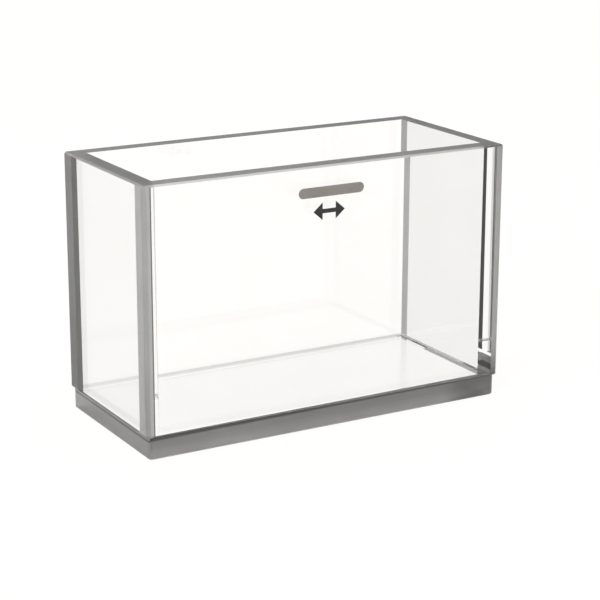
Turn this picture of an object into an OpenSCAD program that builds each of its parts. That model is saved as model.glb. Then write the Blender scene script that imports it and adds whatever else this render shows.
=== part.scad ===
// Open-topped rectangular cuvette, fused from five polished glass plates.
// Two long windows overlap the ends of two short end walls, and the four of them stand
// on a thicker base plate that is a little smaller than the walls all round.
// The outer edges are ground back after fusing, so one ground outline cuts all four walls.
//
// Frame: origin at the centre of the underside, +X along the windows, +Y to the back, +Z up.

/* [Cell] */
// Outside length, along the windows
cell_l = 55; // [30:1:120]
// Outside width, from window to window
cell_w = 25; // [12:1:60]
// Height of the walls above the base plate
wall_h = 33.5; // [15:0.5:80]

/* [Plates] */
// Thickness of the two long windows
window_t = 2.5; // [1.5:0.1:4]
// Thickness of the two end walls between the windows
end_t = 2.3; // [1.5:0.1:4]
// Thickness of the base plate
base_t = 3; // [2:0.1:6]
// How far the base plate stays inside the walls all round
base_inset = 0.3; // [0.1:0.05:1]

/* [Ground edges] */
// Leg of the bevel round the rim, the foot and three upright edges of the walls
edge_bevel = 0.25; // [0.1:0.05:0.6]
// Leg of the wider bevel on the front left upright edge
marked_bevel = 0.55; // [0.1:0.05:1.2]
// Radius of the base plate's upright corners
base_corner_r = 0.5; // [0.2:0.1:2]
// Radius of the base plate's lower edge
base_edge_r = 0.35; // [0.1:0.05:1]

/* [Hidden] */
$fn = 48;
// Faces of a cutting shape that leave its surroundings run past them by this much
past = 1;
chamber_l = cell_l - 2 * end_t;
chamber_w = cell_w - 2 * window_t;
base_l = cell_l - 2 * base_inset;
base_w = cell_w - 2 * base_inset;
total_h = base_t + wall_h;

// Rectangle from (0, 0) to (w, h) with one bevel leg for each corner, anticlockwise from (0, 0)
module bevelled_rect(w, h, legs) {
  polygon([
    [legs[0], 0],
    [w - legs[1], 0],
    [w, legs[1]],
    [w, h - legs[2]],
    [w - legs[2], h],
    [legs[3], h],
    [0, h - legs[3]],
    [0, legs[0]]
  ]);
}

// Outline of the four walls seen from above, with the wider bevel at the front left
module wall_plan() {
  translate([-cell_l / 2, -cell_w / 2])
    bevelled_rect(cell_l, cell_w, [marked_bevel, edge_bevel, edge_bevel, edge_bevel]);
}

// Outline of the walls seen from the front or the side, standing on the base plate
module wall_elevation(w) {
  translate([-w / 2, base_t])
    bevelled_rect(w, wall_h, [edge_bevel, edge_bevel, edge_bevel, edge_bevel]);
}

// Everything that the grinding leaves of the walls: three outlines, cut along the three axes
module ground_outline() {
  intersection() {
    linear_extrude(height = total_h + past)
      wall_plan();
    rotate([90, 0, 0])
      linear_extrude(height = cell_w + 2 * past, center = true)
        wall_elevation(cell_l);
    rotate([90, 0, 90])
      linear_extrude(height = cell_l + 2 * past, center = true)
        wall_elevation(cell_w);
  }
}

// A full-length plate, side = -1 at the front and 1 at the back
module window_plate(side) {
  intersection() {
    translate([-cell_l / 2, side * (cell_w - window_t) / 2 - window_t / 2, base_t])
      cube([cell_l, window_t, wall_h]);
    ground_outline();
  }
}

// A short plate between the windows, side = -1 at the left and 1 at the right
module end_plate(side) {
  intersection() {
    translate([side * (cell_l - end_t) / 2 - end_t / 2, -chamber_w / 2, base_t])
      cube([end_t, chamber_w, wall_h]);
    ground_outline();
  }
}

// Rectangle centred on the origin with four round corners
module rounded_rect(l, w, r) {
  square([l - 2 * r, w], center = true);
  square([l, w - 2 * r], center = true);
  for (x = [-1, 1], y = [-1, 1])
    translate([x * (l / 2 - r), y * (w / 2 - r)])
      circle(r = r);
}

// Section of the base plate: square shoulders above, two round edges below
module base_section(w) {
  translate([-w / 2, base_edge_r])
    square([w, base_t - base_edge_r]);
  translate([-w / 2 + base_edge_r, 0])
    square([w - 2 * base_edge_r, base_t]);
  for (x = [-1, 1])
    translate([x * (w / 2 - base_edge_r), base_edge_r])
      circle(r = base_edge_r);
}

module base_plate() {
  color("LightSteelBlue", 0.5)
    intersection() {
      linear_extrude(height = base_t)
        rounded_rect(base_l, base_w, base_corner_r);
      rotate([90, 0, 0])
        linear_extrude(height = base_w + 2 * past, center = true)
          base_section(base_l);
      rotate([90, 0, 90])
        linear_extrude(height = base_l + 2 * past, center = true)
          base_section(base_w);
    }
}

module front_window() {
  color("Lavender", 0.4)
    window_plate(-1);
}

module back_window() {
  color("Lavender", 0.4)
    window_plate(1);
}

module left_end_wall() {
  color("LightCyan", 0.4)
    end_plate(-1);
}

module right_end_wall() {
  color("LightCyan", 0.4)
    end_plate(1);
}

base_plate();
front_window();
back_window();
left_end_wall();
right_end_wall();
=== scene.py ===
"""Looks of the fused glass cuvette: polished windows, finely ground edges, a plain white studio."""

import functools
import math

import bmesh
import bpy
from mathutils import Matrix, Vector


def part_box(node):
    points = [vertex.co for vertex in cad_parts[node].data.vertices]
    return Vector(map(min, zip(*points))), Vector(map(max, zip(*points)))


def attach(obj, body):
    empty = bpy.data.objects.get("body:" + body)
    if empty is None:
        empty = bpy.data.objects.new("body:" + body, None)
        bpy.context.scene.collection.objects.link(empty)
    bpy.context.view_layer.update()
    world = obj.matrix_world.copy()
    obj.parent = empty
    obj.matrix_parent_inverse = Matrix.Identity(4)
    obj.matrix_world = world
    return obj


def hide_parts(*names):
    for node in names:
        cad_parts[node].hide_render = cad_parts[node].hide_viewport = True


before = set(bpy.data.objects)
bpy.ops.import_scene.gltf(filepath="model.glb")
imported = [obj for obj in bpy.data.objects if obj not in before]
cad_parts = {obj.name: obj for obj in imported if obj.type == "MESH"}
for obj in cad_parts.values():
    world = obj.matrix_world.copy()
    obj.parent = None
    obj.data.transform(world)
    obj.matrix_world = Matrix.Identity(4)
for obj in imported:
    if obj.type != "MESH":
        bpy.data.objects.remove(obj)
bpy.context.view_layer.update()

MM = 0.001

# The ground edges, as in the part's source, but with a slightly wider bevel at the right of the foot
EDGE_BEVEL = 0.25 * MM
RIGHT_FOOT_BEVEL = 0.29 * MM
BASE_CORNER_R = 0.5 * MM
BASE_EDGE_R = 0.35 * MM
CORNER_STEPS = 8
EDGE_STEPS = 5

# The wide upright bevel at the front left, in two facets: how far each reaches along the two faces
STEEP_FACET = (0.59 * MM, 0.59 * MM)
SHALLOW_FACET_X = 0.87 * MM
SHALLOW_FACET_ANGLE = math.radians(15)
# A painted dark line on the ground glass beside it, as shade at the facet's edge: from the shallow facet on
DARK_LINE_X = 1.05 * MM
# How much of each top corner of the walls is ground off
TOP_CORNER = 0.5 * MM
# The ground band at the foot of the left end wall
LEFT_BAND = 0.46 * MM
# The thin joint under the walls, and where it is open at the right: from here to the back
FOOT_JOINT = 0.01 * MM
OPEN_FROM_Y = 4 * MM
# The right foot bevel is painted darker up to here, as shade
SHADED_TO_Y = -5 * MM
# The front window's foot is matt up to a line between these two places, and open behind it
MATT_LINE = (Vector((-22, -10.9, 0)) * MM, Vector((24, -10, 0)) * MM)

# Where the walls and the base are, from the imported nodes
WALL_LOW, WALL_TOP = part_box("front_window")[0].z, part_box("front_window")[1].z
OUT_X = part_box("front_window")[1].x
OUT_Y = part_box("back_window")[1].y
IN_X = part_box("right_end_wall")[0].x
IN_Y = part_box("back_window")[0].y
BASE_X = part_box("base_plate")[1].x
BASE_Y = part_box("base_plate")[1].y

# Places closer than this count as the same
SAME = 0.001 * MM
# A cut joins points that are closer than this
CUT_JOINS = 1e-6 * MM
# How far its normal reaches along an axis where a face is square to it, and where a bevel leans to it
SQUARE = 0.99
LEANS = 0.5

# ---------------------------------------------------------------- materials

GLASS_IOR = 1.46
GLASS_COLOURS = ((0.990, 0.988, 0.984), (0.999, 0.998, 0.995))
# The clouds that cleaning leaves on it: features per metre, their detail and their range of noise
GLASS_CLOUDS = 90
GLASS_CLOUD_DETAIL = 1
GLASS_CLOUD_RANGE = (0.35, 0.65)
# The left end wall's faces are a darker copy of the same clear glass, as painted shade
LEFT_SHADE_CLEARNESS = 0.94
NEUTRAL = (1, 0.99, 0.975)
COOL = (0.985, 0.99, 1)
OLIVE = (1, 0.99, 0.94)

# Each ground finish: its grey in linear light, the share of light that it lets through, and its tint
# The glass is ground alike all over: the greys that differ from finish to finish are painted light and
# shade
GROUND = {
    "rim": (0.25, 0.8, NEUTRAL),
    "back_rim": (0.14, 0.2, NEUTRAL),
    "top_bevel": (0.47, 1.0, NEUTRAL),
    "left_top_bevel": (0.60, 0.6, NEUTRAL),
    "upright_bevel": (0.50, 1.0, NEUTRAL),
    "steep_facet": (0.385, 0.6, COOL),
    "shallow_facet": (0.38, 0.6, OLIVE),
    "painted_dark_line": (0.15, 0.0, OLIVE),
    "front_end": (0.46, 0.8, NEUTRAL),
    "back_end": (0.17, 0.5, NEUTRAL),
    "right_end": (0.30, 0.9, NEUTRAL),
    "front_foot": (0.28, 0.0, NEUTRAL),
    "left_foot": (0.115, 1.0, NEUTRAL),
    # The front foot bevel's near black is a painted shadow, where it faces down
    "front_foot_bevel": (0.05, 0.0, NEUTRAL),
    "left_foot_bevel": (0.40, 0.5, NEUTRAL),
    "right_foot_bevel": (0.85, 1.0, NEUTRAL),
    "shaded_foot_bevel": (0.32, 0.2, NEUTRAL),
    "back_foot_bevel": (0.78, 1.0, NEUTRAL),
    "base_front": (0.33, 0.5, NEUTRAL),
    "base_left": (0.415, 0.5, NEUTRAL),
    "base_right": (0.20, 1.0, NEUTRAL),
    # The base's back is painted light, as lit from the backdrop behind it
    "base_back": (0.62, 1.0, NEUTRAL),
}
# Painted light and shade on the finishes, where each gets lighter or darker: the direction, two places
# along it, and the factor at each
X, Y, Z = (1, 0, 0), (0, 1, 0), (0, 0, 1)
# A little off Z, for a painted shadow along the base's top edge, under the walls, that narrows to the right
NARROWING = (-0.0064, 0, 1)
# Down and to the right, for painted shade at the lower right of the base's front
LOW_AND_RIGHT = (0.2, 0, -1)
SHADES = {
    # Painted light from the left on the rims and top bevels, fading to the right
    "rim": [(X, -OUT_X, OUT_X, 1.2, 0.72)],
    "back_rim": [(X, -OUT_X, OUT_X, 1.15, 0.85)],
    "top_bevel": [(X, -OUT_X, OUT_X, 1.1, 0.85)],
    # Painted shade towards the back left corner
    "left_top_bevel": [(Y, 8 * MM, OUT_Y, 1, 0.35)],
    # A painted shadow on the front foot bevel, fading to the right
    "front_foot_bevel": [(X, -15 * MM, 5 * MM, 1, 2.8), (X, 20.5 * MM, 21.5 * MM, 1, 1.2)],
    "back_foot_bevel": [(X, -OUT_X, IN_X, 1.05, 0.95), (X, IN_X, IN_X + 1 * MM, 1, 1.3)],
    # On the base's front: painted light low down, painted shade along the top edge, in a patch at the right
    # and at the lower right
    "base_front": [
        (Z, 0.5 * MM, 2.2 * MM, 1.45, 0.95),
        (NARROWING, WALL_LOW - 0.34 * MM, WALL_LOW - 0.12 * MM, 1, 0.28),
        (X, 18 * MM, 22.5 * MM, 1, 0.55),
        (X, 23.5 * MM, 27 * MM, 1, 1.2),
        (LOW_AND_RIGHT, 3.3 * MM, 4.3 * MM, 1, 0.72),
    ],
    # On the base's left: a painted shadow along the top edge under the wall, and painted shade towards the
    # back
    "base_left": [
        (Z, WALL_LOW - 0.6 * MM, WALL_LOW - 0.48 * MM, 1, 0.25),
        (Z, WALL_LOW - 0.4 * MM, WALL_LOW - 0.28 * MM, 1, 3.7),
        (Y, -2 * MM, OUT_Y, 1, 0.82),
    ],
    "left_foot": [(Y, -2 * MM, OUT_Y, 1, 0.82)],
    # Painted light low on the base's back
    "base_back": [
        (Z, WALL_LOW - 0.35 * MM, WALL_LOW - 0.2 * MM, 1.5, 1),
        (X, -OUT_X, OUT_X, 1.1, 0.95),
    ],
}
GROUND_ROUGHNESS = 0.45
# The finishes fine enough to mirror like polished glass at a slant: where this starts and is full
GLANCING = {
    "left_foot": (0.64, 0.69),
    "left_foot_bevel": (0.5, 0.58),
    "right_foot_bevel": (0.42, 0.54),
}

# How the chamber floor softens what is mirrored in it
CHAMBER_FLOOR_ROUGHNESS = 0.2
# The film in the back left joint: its darkest and lightest grey, and the slant where it starts and is full
JOINT_FILM = ((0.255, 0.25, 0.235), (0.285, 0.28, 0.265))
JOINT_FILM_SHOWS = (0.15, 0.3)
# And a dark film as painted shade, which the underside shows from within the glass at a slant, where it
# lies on the floor
UNDERSIDE_SHADE_FILM = ((0.08, 0.078, 0.075), (0.10, 0.098, 0.094))
UNDERSIDE_FILM_SHOWS = (0.45, 0.6)
FILM_ROUGHNESS = 0.9

# The marks that the grinding leaves: features per metre across the streaks, and along them
STREAKS_ACROSS = 3000
STREAKS_ALONG = 120
GRAIN = 9000
CLOUDS = 300
# Their detail, how much each counts, the range of noise that they take, and how far they change the tone
STREAK_DETAIL, GRAIN_DETAIL, CLOUD_DETAIL = 2, 3, 2
STREAK_SHARE, GRAIN_SHARE, CLOUD_SHARE = 0.35, 0.3, 0.35
NOISE_RANGE = (0.3, 0.7)
TONE_SPREAD = 0.14
# How strongly the grain is felt, and how deep it is
BUMP = 0.3
GRAIN_DEPTH = 0.02 * MM

# The darkest and lightest grey of the two inks on the front window
BROWN_INK = ((0.48, 0.46, 0.41), (0.54, 0.52, 0.465))
BLACK_INK = ((0.010, 0.010, 0.011), (0.020, 0.020, 0.021))
INK_ROUGHNESS = 0.6


def new_material(name):
    """An empty node material, its tree and its output."""
    material = bpy.data.materials.new(name)
    material.use_nodes = True
    tree = material.node_tree
    tree.nodes.clear()
    output = tree.nodes.new("ShaderNodeOutputMaterial")
    return material, tree, output


def noise(tree, features, detail):
    """Noise in the object's own space. features is how many there are per metre along x, y and z."""
    coords = tree.nodes.new("ShaderNodeTexCoord")
    stretch = tree.nodes.new("ShaderNodeVectorMath")
    stretch.operation = "MULTIPLY"
    stretch.inputs[1].default_value = features
    node = tree.nodes.new("ShaderNodeTexNoise")
    node.inputs["Scale"].default_value = 1
    node.inputs["Detail"].default_value = detail
    tree.links.new(coords.outputs["Object"], stretch.inputs[0])
    tree.links.new(stretch.outputs[0], node.inputs["Vector"])
    return node.outputs["Fac"]


def mapped(tree, value, low, high, out_low, out_high):
    """The value, carried from low..high to out_low..out_high and held there."""
    node = tree.nodes.new("ShaderNodeMapRange")
    for socket, number in zip(node.inputs[1:5], (low, high, out_low, out_high)):
        socket.default_value = number
    tree.links.new(value, node.inputs["Value"])
    return node.outputs["Result"]


def math_node(tree, operation, a, b):
    """The result of the operation. a and b are numbers or sockets."""
    node = tree.nodes.new("ShaderNodeMath")
    node.operation = operation
    for socket, value in zip(node.inputs, (a, b)):
        if isinstance(value, (int, float)):
            socket.default_value = value
        else:
            tree.links.new(value, socket)
    return node.outputs[0]


def shaded(tree, colour, ramps):
    """The colour, multiplied by a soft ramp for each of the ramps, which paint light and shade on it."""
    coords = tree.nodes.new("ShaderNodeTexCoord")
    for direction, start, end, start_factor, end_factor in ramps:
        place = tree.nodes.new("ShaderNodeVectorMath")
        place.operation = "DOT_PRODUCT"
        place.inputs[1].default_value = direction
        tree.links.new(coords.outputs["Object"], place.inputs[0])
        ramp = mapped(tree, place.outputs["Value"], start, end, start_factor, end_factor)
        ramp.node.interpolation_type = "SMOOTHSTEP"
        scale = tree.nodes.new("ShaderNodeVectorMath")
        scale.operation = "SCALE"
        tree.links.new(colour, scale.inputs[0])
        tree.links.new(ramp, scale.inputs["Scale"])
        colour = scale.outputs[0]
    return colour


def facing(tree):
    """How much the surface is looked at from a slant: 0 from straight on, 1 from along it."""
    return tree.nodes.new("ShaderNodeLayerWeight").outputs["Facing"]


def blend_colours(tree, factor, a, b):
    """Colour a where the factor is 0, colour b where it is 1."""
    node = tree.nodes.new("ShaderNodeMix")
    node.data_type = "RGBA"
    node.inputs["A"].default_value = (*a, 1)
    node.inputs["B"].default_value = (*b, 1)
    tree.links.new(factor, node.inputs["Factor"])
    return node.outputs["Result"]


def polished_glass(name, roughness, clearness):
    """Clear glass, with the faintest unevenness that cleaning leaves."""
    material, tree, output = new_material(name)
    shader = tree.nodes.new("ShaderNodeBsdfPrincipled")
    shader.inputs["Transmission Weight"].default_value = 1
    shader.inputs["IOR"].default_value = GLASS_IOR
    shader.inputs["Roughness"].default_value = roughness
    clouds = noise(tree, (GLASS_CLOUDS,) * 3, GLASS_CLOUD_DETAIL)
    darkest, lightest = [[clearness * c for c in colour] for colour in GLASS_COLOURS]
    share = mapped(tree, clouds, *GLASS_CLOUD_RANGE, 0, 1)
    tree.links.new(blend_colours(tree, share, darkest, lightest), shader.inputs["Base Color"])
    tree.links.new(shader.outputs["BSDF"], output.inputs["Surface"])
    return material


@functools.cache
def ground_glass(kind, axis):
    """Finely ground glass, which scatters the light that it lets through. The streaks run along axis."""
    tone, through, tint = GROUND[kind]
    material, tree, output = new_material(f"ground_{kind}_{'xyz'[axis]}")
    shader = tree.nodes.new("ShaderNodeBsdfPrincipled")
    shader.inputs["Roughness"].default_value = GROUND_ROUGHNESS
    shader.inputs["IOR"].default_value = GLASS_IOR
    shader.inputs["Transmission Weight"].default_value = through
    features = [STREAKS_ACROSS] * 3
    features[axis] = STREAKS_ALONG
    streaks = noise(tree, features, STREAK_DETAIL)
    grain = noise(tree, (GRAIN,) * 3, GRAIN_DETAIL)
    clouds = noise(tree, (CLOUDS,) * 3, CLOUD_DETAIL)
    marks = mapped(tree, streaks, *NOISE_RANGE, 0, STREAK_SHARE)
    marks = math_node(tree, "ADD", marks, mapped(tree, grain, *NOISE_RANGE, 0, GRAIN_SHARE))
    marks = math_node(tree, "ADD", marks, mapped(tree, clouds, *NOISE_RANGE, 0, CLOUD_SHARE))
    dark = [tone * (1 - TONE_SPREAD) * c for c in tint]
    light = [tone * (1 + TONE_SPREAD) * c for c in tint]
    # The finish's painted light and shade
    colour = shaded(tree, blend_colours(tree, marks, dark, light), SHADES.get(kind, []))
    bump = tree.nodes.new("ShaderNodeBump")
    bump.inputs["Strength"].default_value = BUMP
    bump.inputs["Distance"].default_value = GRAIN_DEPTH
    tree.links.new(grain, bump.inputs["Height"])
    tree.links.new(bump.outputs["Normal"], shader.inputs["Normal"])
    if kind in GLANCING:
        colour = polished_at_a_slant(tree, kind, shader, bump, colour)
    tree.links.new(colour, shader.inputs["Base Color"])
    tree.links.new(shader.outputs["BSDF"], output.inputs["Surface"])
    return material


def polished_at_a_slant(tree, kind, shader, bump, colour):
    """Lets a ground finish go over into clear polished glass at a slant. Returns its colour."""
    through = GROUND[kind][1]
    mirroring = mapped(tree, facing(tree), *GLANCING[kind], 0, 1)
    tree.links.new(mapped(tree, mirroring, 0, 1, GROUND_ROUGHNESS, 0), shader.inputs["Roughness"])
    tree.links.new(mapped(tree, mirroring, 0, 1, through, 1), shader.inputs["Transmission Weight"])
    tree.links.new(mapped(tree, mirroring, 0, 1, BUMP, 0), bump.inputs["Strength"])
    whitened = tree.nodes.new("ShaderNodeMix")
    whitened.data_type = "RGBA"
    whitened.inputs["B"].default_value = (1, 1, 1, 1)
    tree.links.new(mirroring, whitened.inputs["Factor"])
    tree.links.new(colour, whitened.inputs["A"])
    return whitened.outputs["Result"]


def fused_joint():
    """Where two plates are fused the glass goes on, so the joint lets light pass straight."""
    material, tree, output = new_material("fused_joint")
    shader = tree.nodes.new("ShaderNodeBsdfPrincipled")
    shader.inputs["Base Color"].default_value = (1, 1, 1, 1)
    shader.inputs["Alpha"].default_value = 0
    tree.links.new(shader.outputs["BSDF"], output.inputs["Surface"])
    return material


def matt(name, colours, roughness):
    """A matt surface, clouded between two colours."""
    material, tree, output = new_material(name)
    shader = tree.nodes.new("ShaderNodeBsdfPrincipled")
    clouds = mapped(tree, noise(tree, (CLOUDS,) * 3, CLOUD_DETAIL), *NOISE_RANGE, 0, 1)
    tree.links.new(blend_colours(tree, clouds, *colours), shader.inputs["Base Color"])
    shader.inputs["Roughness"].default_value = roughness
    tree.links.new(shader.outputs["BSDF"], output.inputs["Surface"])
    return material


def film(name, colours, shows):
    """A thin film that is clear from straight on. shows is the slant where it starts and is full."""
    material = matt(name, colours, FILM_ROUGHNESS)
    tree = material.node_tree
    shader = next(node for node in tree.nodes if node.type == "BSDF_PRINCIPLED")
    tree.links.new(mapped(tree, facing(tree), *shows, 0, 1), shader.inputs["Alpha"])
    return material


POLISHED = polished_glass("polished_glass", 0, 1)
LEFT_SHADED_POLISHED = polished_glass("left_end_glass", 0, LEFT_SHADE_CLEARNESS)
CHAMBER_FLOOR = polished_glass("chamber_floor_glass", CHAMBER_FLOOR_ROUGHNESS, 1)
FUSED = fused_joint()
SLANTING = film("slanting_joint", JOINT_FILM, JOINT_FILM_SHOWS)
# The underside's dark film is painted shade
STANDING_SHADE = film("standing_face", UNDERSIDE_SHADE_FILM, UNDERSIDE_FILM_SHOWS)

# ---------------------------------------------------------------- plates


def cut(bm, point, normal):
    """Cuts away what lies beyond the plane, and closes the plate with one flat face."""
    geometry = bm.verts[:] + bm.edges[:] + bm.faces[:]
    result = bmesh.ops.bisect_plane(
        bm, geom=geometry, dist=CUT_JOINS, plane_co=point, plane_no=normal, clear_outer=True
    )
    edges = [g for g in result["geom_cut"] if isinstance(g, bmesh.types.BMEdge)]
    if edges:
        bmesh.ops.contextual_create(bm, geom=edges)


def split_at(bm, point, normal):
    """Marks a line across the faces that the plane crosses, to give its two sides their own finish."""
    geometry = bm.verts[:] + bm.edges[:] + bm.faces[:]
    bmesh.ops.bisect_plane(bm, geom=geometry, dist=CUT_JOINS, plane_co=point, plane_no=normal)


def split(bm, axis, place):
    """Marks a line across the faces, square to the axis."""
    point, normal = Vector(), Vector()
    point[axis] = place
    normal[axis] = 1
    split_at(bm, point, normal)


def bevel_planes():
    """Point and outward normal of each bevel of the walls: rim and foot, upright edges, top corners."""
    planes = []
    for z, up in ((WALL_TOP, 1), (WALL_LOW, -1)):
        for side in (-1, 1):
            leg = RIGHT_FOOT_BEVEL if (side, up) == (1, -1) else EDGE_BEVEL
            planes.append((Vector((side * (OUT_X - leg), 0, z)), Vector((side, 0, up))))
            planes.append((Vector((0, side * (OUT_Y - EDGE_BEVEL), z)), Vector((0, side, up))))
    steep, along = STEEP_FACET
    planes.append((Vector((steep - OUT_X, -OUT_Y, 0)), Vector((-along, -steep, 0))))
    shallow = Vector((-math.sin(SHALLOW_FACET_ANGLE), -math.cos(SHALLOW_FACET_ANGLE), 0))
    planes.append((Vector((SHALLOW_FACET_X - OUT_X, -OUT_Y, 0)), shallow))
    for x, y in ((-1, 1), (1, -1), (1, 1)):
        planes.append((Vector((x * (OUT_X - EDGE_BEVEL), y * OUT_Y, 0)), Vector((x, y, 0))))
    for x in (-1, 1):
        for y in (-1, 1):
            planes.append((Vector((x * OUT_X, y * OUT_Y, WALL_TOP - TOP_CORNER)), Vector((x, y, 1))))
    return planes


def block(low, high):
    """A box between two corners."""
    bm = bmesh.new()
    bmesh.ops.create_cube(bm, size=1)
    bmesh.ops.scale(bm, vec=high - low, verts=bm.verts)
    bmesh.ops.translate(bm, vec=(low + high) / 2, verts=bm.verts)
    return bm


def long_axis(face):
    """The axis, 0 to 2, along which the face is longest."""
    spans = []
    for axis in range(3):
        places = [v.co[axis] for v in face.verts]
        spans.append(max(places) - min(places))
    return spans.index(max(spans))


def add_piece(name, bm, finish, node):
    """Makes the piece, with the material that finish(face) gives, and puts it in the CAD node's place."""
    mesh = bpy.data.meshes.new(name)
    bm.normal_update()
    materials = []
    for face in bm.faces:
        material = finish(face)
        if material not in materials:
            materials.append(material)
        face.material_index = materials.index(material)
    bm.to_mesh(mesh)
    bm.free()
    for material in materials:
        mesh.materials.append(material)
    piece = bpy.data.objects.new(name, mesh)
    bpy.context.scene.collection.objects.link(piece)
    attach(piece, "root")
    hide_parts(node)
    return piece


def bevel_finish(face):
    """The finish of a slanting face of the walls: one of their ground bevels."""
    normal, centre, axis = face.normal, face.calc_center_median(), long_axis(face)
    if normal.z > LEANS:
        return ground_glass("left_top_bevel" if normal.x < -LEANS else "top_bevel", axis)
    if normal.z < -LEANS:
        return foot_bevel_finish(centre, axis)
    if centre.x < 0 and centre.y < 0:
        shallow = normal.y < -math.cos(2 * SHALLOW_FACET_ANGLE)
        return ground_glass("shallow_facet" if shallow else "steep_facet", axis)
    return ground_glass("upright_bevel", axis)


def foot_bevel_finish(centre, axis):
    """The finish of a bevel round the foot, by the wall that it is on."""
    if centre.y < -IN_Y:
        return ground_glass("front_foot_bevel", axis)
    if centre.y > IN_Y:
        return ground_glass("back_foot_bevel", axis)
    if centre.x < 0:
        return ground_glass("left_foot_bevel", axis)
    return ground_glass("shaded_foot_bevel" if centre.y < SHADED_TO_Y else "right_foot_bevel", axis)


def foot_finish(centre):
    """The front window's foot is matt along the front. The rest is open, or fused clear to the base."""
    if abs(centre.x) > BASE_X or abs(centre.y) > BASE_Y:
        return foot_bevel_finish(centre, 0)
    if centre.y > -IN_Y:
        return POLISHED if over_open_joint(centre) else FUSED
    behind_line = (centre - MATT_LINE[0]).dot(matt_line_normal()) > 0
    return POLISHED if behind_line and centre.x < IN_X else ground_glass("front_foot", 0)


def matt_line_normal():
    """The way from the line on the front window's foot to the back."""
    along = MATT_LINE[1] - MATT_LINE[0]
    return Vector((-along.y, along.x, 0)).normalized()


def over_open_joint(centre):
    """Whether the foot joint is open: under the front window, the left end wall or the back right."""
    if centre.x > IN_X:
        return centre.y > OPEN_FROM_Y
    return centre.y < (IN_Y if centre.x < -IN_X else -IN_Y)


def window_face_finish(centre):
    """Faces that look to the front or back: outside, inside, or where a window and an end wall touch."""
    # A painted dark line of shade beside the shallow facet
    if centre.y < SAME - OUT_Y and SHALLOW_FACET_X < centre.x + OUT_X < DARK_LINE_X:
        return ground_glass("painted_dark_line", 2)
    touching = abs(centre.y) < IN_Y + SAME and abs(centre.x) > IN_X
    if not touching:
        return POLISHED
    return SLANTING if centre.x < 0 and centre.y > 0 else FUSED


def wall_finish(face):
    """The finish of any face of the four walls."""
    normal, centre = face.normal, face.calc_center_median()
    if max(abs(c) for c in normal) < SQUARE:
        return bevel_finish(face)
    if normal.z > SQUARE:
        return ground_glass("back_rim" if centre.y > IN_Y else "rim", long_axis(face))
    if normal.z < -SQUARE:
        return foot_finish(centre)
    if abs(normal.y) > SQUARE:
        return window_face_finish(centre)
    if abs(centre.x) > OUT_X - SAME and abs(centre.y) > IN_Y:
        return ground_glass(end_kind(centre), 2)
    return end_wall_finish(centre)


def end_wall_finish(centre):
    """Faces that look to the left or right, inside and outside."""
    if centre.x > 0:
        return POLISHED
    in_band = centre.x < SAME - OUT_X and centre.z < WALL_LOW + LEFT_BAND
    return ground_glass("left_foot", 1) if in_band else LEFT_SHADED_POLISHED


def end_kind(centre):
    """Which ground end of a window it is."""
    if centre.x > 0:
        return "right_end"
    return "front_end" if centre.y < 0 else "back_end"


def wall_plate(node):
    """One of the four walls, with its faces split where the finish changes."""
    low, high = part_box(node)
    bm = block(low + Vector((0, 0, FOOT_JOINT)), high)
    for point, normal in bevel_planes():
        cut(bm, point, normal.normalized())
    for side in (-1, 1):
        split(bm, 0, side * BASE_X)
        split(bm, 1, side * BASE_Y)
        if "window" in node:
            split(bm, 0, side * IN_X)
    if node == "front_window":
        split(bm, 0, DARK_LINE_X - OUT_X)
        split_at(bm, MATT_LINE[0], matt_line_normal())
    if node == "left_end_wall":
        split(bm, 2, WALL_LOW + LEFT_BAND)
    if node == "right_end_wall":
        split(bm, 1, OPEN_FROM_Y)
        split(bm, 1, SHADED_TO_Y)
    return add_piece(node + "_glass", bm, wall_finish, node)


def round_off(bm, edges, radius, steps):
    """Rounds the edges to a quarter of a circle."""
    bmesh.ops.bevel(bm, geom=edges, offset=radius, segments=steps, profile=0.5, affect="EDGES")


def base_finish(face):
    """The finish of any face of the base plate."""
    if face.normal.z > SQUARE:
        centre = face.calc_center_median()
        if abs(centre.x) < IN_X and abs(centre.y) < IN_Y:
            return CHAMBER_FLOOR
        return POLISHED if over_open_joint(centre) else FUSED
    if face.normal.z < -SQUARE:
        return STANDING_SHADE
    if abs(face.normal.y) > abs(face.normal.x):
        return ground_glass("base_front" if face.normal.y < 0 else "base_back", 0)
    return ground_glass("base_left" if face.normal.x < 0 else "base_right", 1)


def base_plate():
    """The base plate, with round upright corners and a round lower edge."""
    low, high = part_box("base_plate")
    bm = block(low, high)
    upright = [e for e in bm.edges if abs(e.verts[0].co.z - e.verts[1].co.z) > SAME]
    round_off(bm, upright, BASE_CORNER_R, CORNER_STEPS)
    lower = [e for e in bm.edges if all(v.co.z < low.z + SAME for v in e.verts)]
    round_off(bm, lower, BASE_EDGE_R, EDGE_STEPS)
    for side in (-1, 1):
        split(bm, 0, side * IN_X)
        split(bm, 1, side * IN_Y)
    split(bm, 1, OPEN_FROM_Y)
    return add_piece("base_plate_glass", bm, base_finish, "base_plate")


for node in ("front_window", "back_window", "left_end_wall", "right_end_wall"):
    wall_plate(node)
base_plate()

# ---------------------------------------------------------------- printed marks

# A plain bar, and under it an arrow with a head at each end: their middles and sizes across and up,
# in millimetres, and the length of the arrow's heads and the width of its shaft
BAR_AT, BAR_SIZE = (-0.2, 33.0), (10.0, 1.4)
ARROW_AT, ARROW_SIZE = (-0.55, 30.35), (4.8, 2.4)
ARROW_HEAD, ARROW_SHAFT = 1.4, 0.6
# How many steps each round end of the bar has
ROUND_STEPS = 12
# How thick the ink is, and how deep it lies in the glass
PRINT_DEPTH = 0.01 * MM


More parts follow.
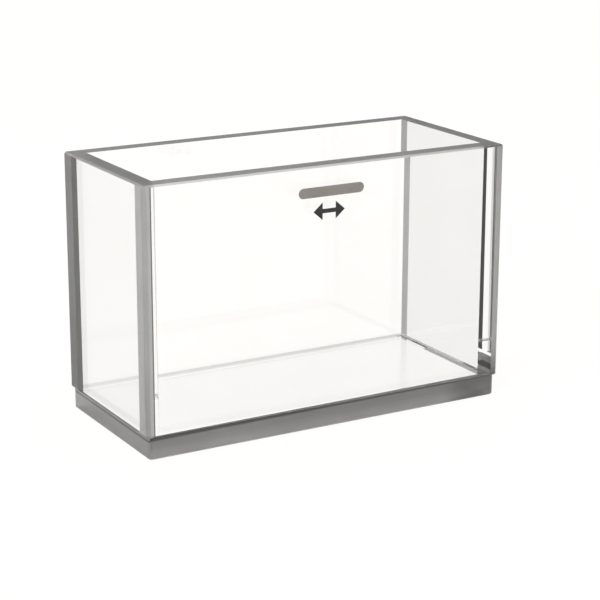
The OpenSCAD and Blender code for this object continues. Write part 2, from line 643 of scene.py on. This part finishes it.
def bar_outline(size):
    """Outline of a bar with round ends, anticlockwise, about its middle."""
    radius = size[1] / 2
    points = []
    for step in range(2 * ROUND_STEPS + 2):
        side = 1 if step <= ROUND_STEPS else -1
        turn = math.pi * (step - (side < 0)) / ROUND_STEPS - math.pi / 2
        points.append((side * (size[0] / 2 - radius) + radius * math.cos(turn), radius * math.sin(turn)))
    return points


def arrow_outline(size, head, shaft):
    """Outline of an arrow with a head at each end, anticlockwise, about its middle."""
    tip, neck = size[0] / 2, size[0] / 2 - head
    right = [(neck, -shaft / 2), (neck, -size[1] / 2), (tip, 0), (neck, size[1] / 2), (neck, shaft / 2)]
    return right + [(-x, -z) for x, z in right]


def printed_mark(name, at, outline, colours):
    """A thin layer of ink in the front window's outer face. at and outline are in millimetres."""
    bm = bmesh.new()
    near = PRINT_DEPTH - OUT_Y
    corners = [bm.verts.new(((at[0] + x) * MM, near, (at[1] + z) * MM)) for x, z in outline]
    face = bm.faces.new(corners)
    extruded = bmesh.ops.extrude_face_region(bm, geom=[face])["geom"]
    far = [g for g in extruded if isinstance(g, bmesh.types.BMVert)]
    bmesh.ops.translate(bm, vec=(0, PRINT_DEPTH, 0), verts=far)
    bmesh.ops.recalc_face_normals(bm, faces=bm.faces)
    mesh = bpy.data.meshes.new(name)
    bm.to_mesh(mesh)
    bm.free()
    mesh.materials.append(matt(name, colours, INK_ROUGHNESS))
    mark = bpy.data.objects.new(name, mesh)
    bpy.context.scene.collection.objects.link(mark)
    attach(mark, "root")


printed_mark("printed_bar", BAR_AT, bar_outline(BAR_SIZE), BROWN_INK)
printed_mark("printed_arrow", ARROW_AT, arrow_outline(ARROW_SIZE, ARROW_HEAD, ARROW_SHAFT), BLACK_INK)

# ---------------------------------------------------------------- studio

FLOOR_GAP = 0.05 * MM
FLOOR_SIZE = 3.0
WHITE_TINT = (1, 0.992, 0.975, 1)
# The floor looks white by its own light, and this much more where the studio's light falls on it
FLOOR_GLOW = 0.92
FLOOR_LIT = (0.125, 0.124, 0.122, 1)
# Its plain colour, for the light that it sends on
FLOOR_PLAIN = (0.8, 0.8, 0.8, 1)
# A ray's depth of a kind is under this before its first bounce of that kind, and over it after
FIRST_BOUNCE = 0.5


def ray_depths(tree):
    """How often a ray has bounced off matt surfaces, and off glossy ones."""
    node = tree.nodes.new("ShaderNodeLightPath")
    return node.outputs["Diffuse Depth"], node.outputs["Glossy Depth"]


def white_floor():
    """White with a shadow where it is seen, plain to the light that it sends on, clear to mirrored rays."""
    material, tree, output = new_material("white_floor")
    diffuse_depth, glossy_depth = ray_depths(tree)
    seen = math_node(tree, "LESS_THAN", diffuse_depth, FIRST_BOUNCE)
    glossy = math_node(tree, "GREATER_THAN", glossy_depth, FIRST_BOUNCE)
    mirrored = math_node(tree, "MULTIPLY", seen, glossy)
    plain = tree.nodes.new("ShaderNodeBsdfDiffuse")
    plain.inputs["Color"].default_value = FLOOR_PLAIN
    lit = tree.nodes.new("ShaderNodeBsdfDiffuse")
    lit.inputs["Color"].default_value = FLOOR_LIT
    glow = tree.nodes.new("ShaderNodeEmission")
    glow.inputs["Color"].default_value = WHITE_TINT
    glow.inputs["Strength"].default_value = FLOOR_GLOW
    both = tree.nodes.new("ShaderNodeAddShader")
    tree.links.new(lit.outputs[0], both.inputs[0])
    tree.links.new(glow.outputs[0], both.inputs[1])
    mix = tree.nodes.new("ShaderNodeMixShader")
    tree.links.new(seen, mix.inputs["Fac"])
    tree.links.new(plain.outputs[0], mix.inputs[1])
    tree.links.new(both.outputs[0], mix.inputs[2])
    clear = tree.nodes.new("ShaderNodeBsdfTransparent")
    let_through = tree.nodes.new("ShaderNodeMixShader")
    tree.links.new(mirrored, let_through.inputs["Fac"])
    tree.links.new(mix.outputs[0], let_through.inputs[1])
    tree.links.new(clear.outputs[0], let_through.inputs[2])
    tree.links.new(let_through.outputs[0], output.inputs["Surface"])
    return material


def add_floor():
    bm = bmesh.new()
    bmesh.ops.create_grid(bm, x_segments=1, y_segments=1, size=FLOOR_SIZE / 2)
    mesh = bpy.data.meshes.new("floor")
    bm.to_mesh(mesh)
    bm.free()
    mesh.materials.append(white_floor())
    floor = bpy.data.objects.new("floor", mesh)
    floor.location.z = -FLOOR_GAP
    bpy.context.scene.collection.objects.link(floor)


# How light the backdrop is where it is looked at, and how much light the studio sheds
WHITE = 1.0
AMBIENT = 0.7
# The white backdrop: its two sides, turned right from +Y, its top, and how softly it ends
BACKDROP_LEFT = math.radians(-28)
BACKDROP_RIGHT = math.radians(170)
BACKDROP_TOP = math.radians(42)
BACKDROP_SOFT_EDGE = math.radians(4)
# How light the studio is beyond the backdrop
DIM_STUDIO = 0.04


def backdrop_light(tree):
    """How light the studio is in each direction: one factor for the backdrop's sides, one for its top."""
    coords = tree.nodes.new("ShaderNodeTexCoord")
    parts = tree.nodes.new("ShaderNodeSeparateXYZ")
    tree.links.new(coords.outputs["Generated"], parts.inputs[0])
    turn = math_node(tree, "ARCTAN2", parts.outputs["X"], parts.outputs["Y"])
    soft = BACKDROP_SOFT_EDGE / 2
    left = mapped(tree, turn, BACKDROP_LEFT - soft, BACKDROP_LEFT + soft, DIM_STUDIO, WHITE)
    right = mapped(tree, turn, BACKDROP_RIGHT - soft, BACKDROP_RIGHT + soft, WHITE, DIM_STUDIO)
    low, high = math.sin(BACKDROP_TOP - soft), math.sin(BACKDROP_TOP + soft)
    top = mapped(tree, parts.outputs["Z"], low, high, WHITE, DIM_STUDIO)
    return math_node(tree, "MULTIPLY", left, right), top


def add_world():
    """White where it is looked at or through, plain soft light on what is lit, dim beyond the backdrop."""
    world = bpy.data.worlds.new("studio")
    bpy.context.scene.world = world
    world.use_nodes = True
    world.cycles.sampling_method = "NONE"
    tree = world.node_tree
    tree.nodes.clear()
    output = tree.nodes.new("ShaderNodeOutputWorld")
    background = tree.nodes.new("ShaderNodeBackground")
    diffuse_depth, glossy_depth = ray_depths(tree)
    lights = math_node(tree, "GREATER_THAN", diffuse_depth, FIRST_BOUNCE)
    mirrored = math_node(tree, "GREATER_THAN", glossy_depth, FIRST_BOUNCE)
    sides, top = backdrop_light(tree)
    in_mirror = math_node(tree, "MAXIMUM", sides, math_node(tree, "SUBTRACT", 1, mirrored))
    mix = tree.nodes.new("ShaderNodeMix")
    tree.links.new(lights, mix.inputs["Factor"])
    tree.links.new(math_node(tree, "MULTIPLY", in_mirror, top), mix.inputs["A"])
    mix.inputs["B"].default_value = AMBIENT
    background.inputs["Color"].default_value = WHITE_TINT
    tree.links.new(mix.outputs["Result"], background.inputs["Strength"])
    tree.links.new(background.outputs[0], output.inputs["Surface"])


# The soft lamp at the front left, aimed at the cell
LAMP_AT = Vector((-0.6, -0.3, 0.4))
LAMP_SIZE = 0.5
LAMP_POWER = 3.0


def add_lamp():
    light = bpy.data.lights.new("left_lamp", "AREA")
    light.shape = "SQUARE"
    light.size = LAMP_SIZE
    light.energy = LAMP_POWER
    lamp = bpy.data.objects.new("left_lamp", light)
    lamp.location = LAMP_AT
    lamp.rotation_euler = (-LAMP_AT).to_track_quat("-Z", "Y").to_euler()
    bpy.context.scene.collection.objects.link(lamp)


# The camera, solved from the edges of the cell: turned right and tilted down from +Y, metres and degrees
CAMERA_AT = Vector((-0.12453, -0.21972, 0.08751))
CAMERA_TURN = math.radians(29.985)
CAMERA_TILT = math.radians(16.050)
CAMERA_ROLL = math.radians(0.166)
CAMERA_LENS = 112.80
CAMERA_SENSOR = 36
CAMERA_NEAR = 0.01


def add_camera():
    data = bpy.data.cameras.new("camera")
    data.sensor_width = CAMERA_SENSOR
    data.lens = CAMERA_LENS
    data.clip_start = CAMERA_NEAR
    camera = bpy.data.objects.new("camera", data)
    camera.matrix_world = (
        Matrix.Translation(CAMERA_AT)
        @ Matrix.Rotation(-CAMERA_TURN, 4, "Z")
        @ Matrix.Rotation(math.pi / 2 - CAMERA_TILT, 4, "X")
        @ Matrix.Rotation(CAMERA_ROLL, 4, "Z")
    )
    bpy.context.scene.collection.objects.link(camera)
    bpy.context.scene.camera = camera


add_floor()
add_world()
add_lamp()
add_camera()

# Glass in front of glass needs many bounces
BOUNCES = 32
scene = bpy.context.scene
scene.view_settings.view_transform = "Standard"
scene.cycles.max_bounces = BOUNCES
scene.cycles.transmission_bounces = BOUNCES
scene.cycles.glossy_bounces = BOUNCES
scene.cycles.transparent_max_bounces = BOUNCES
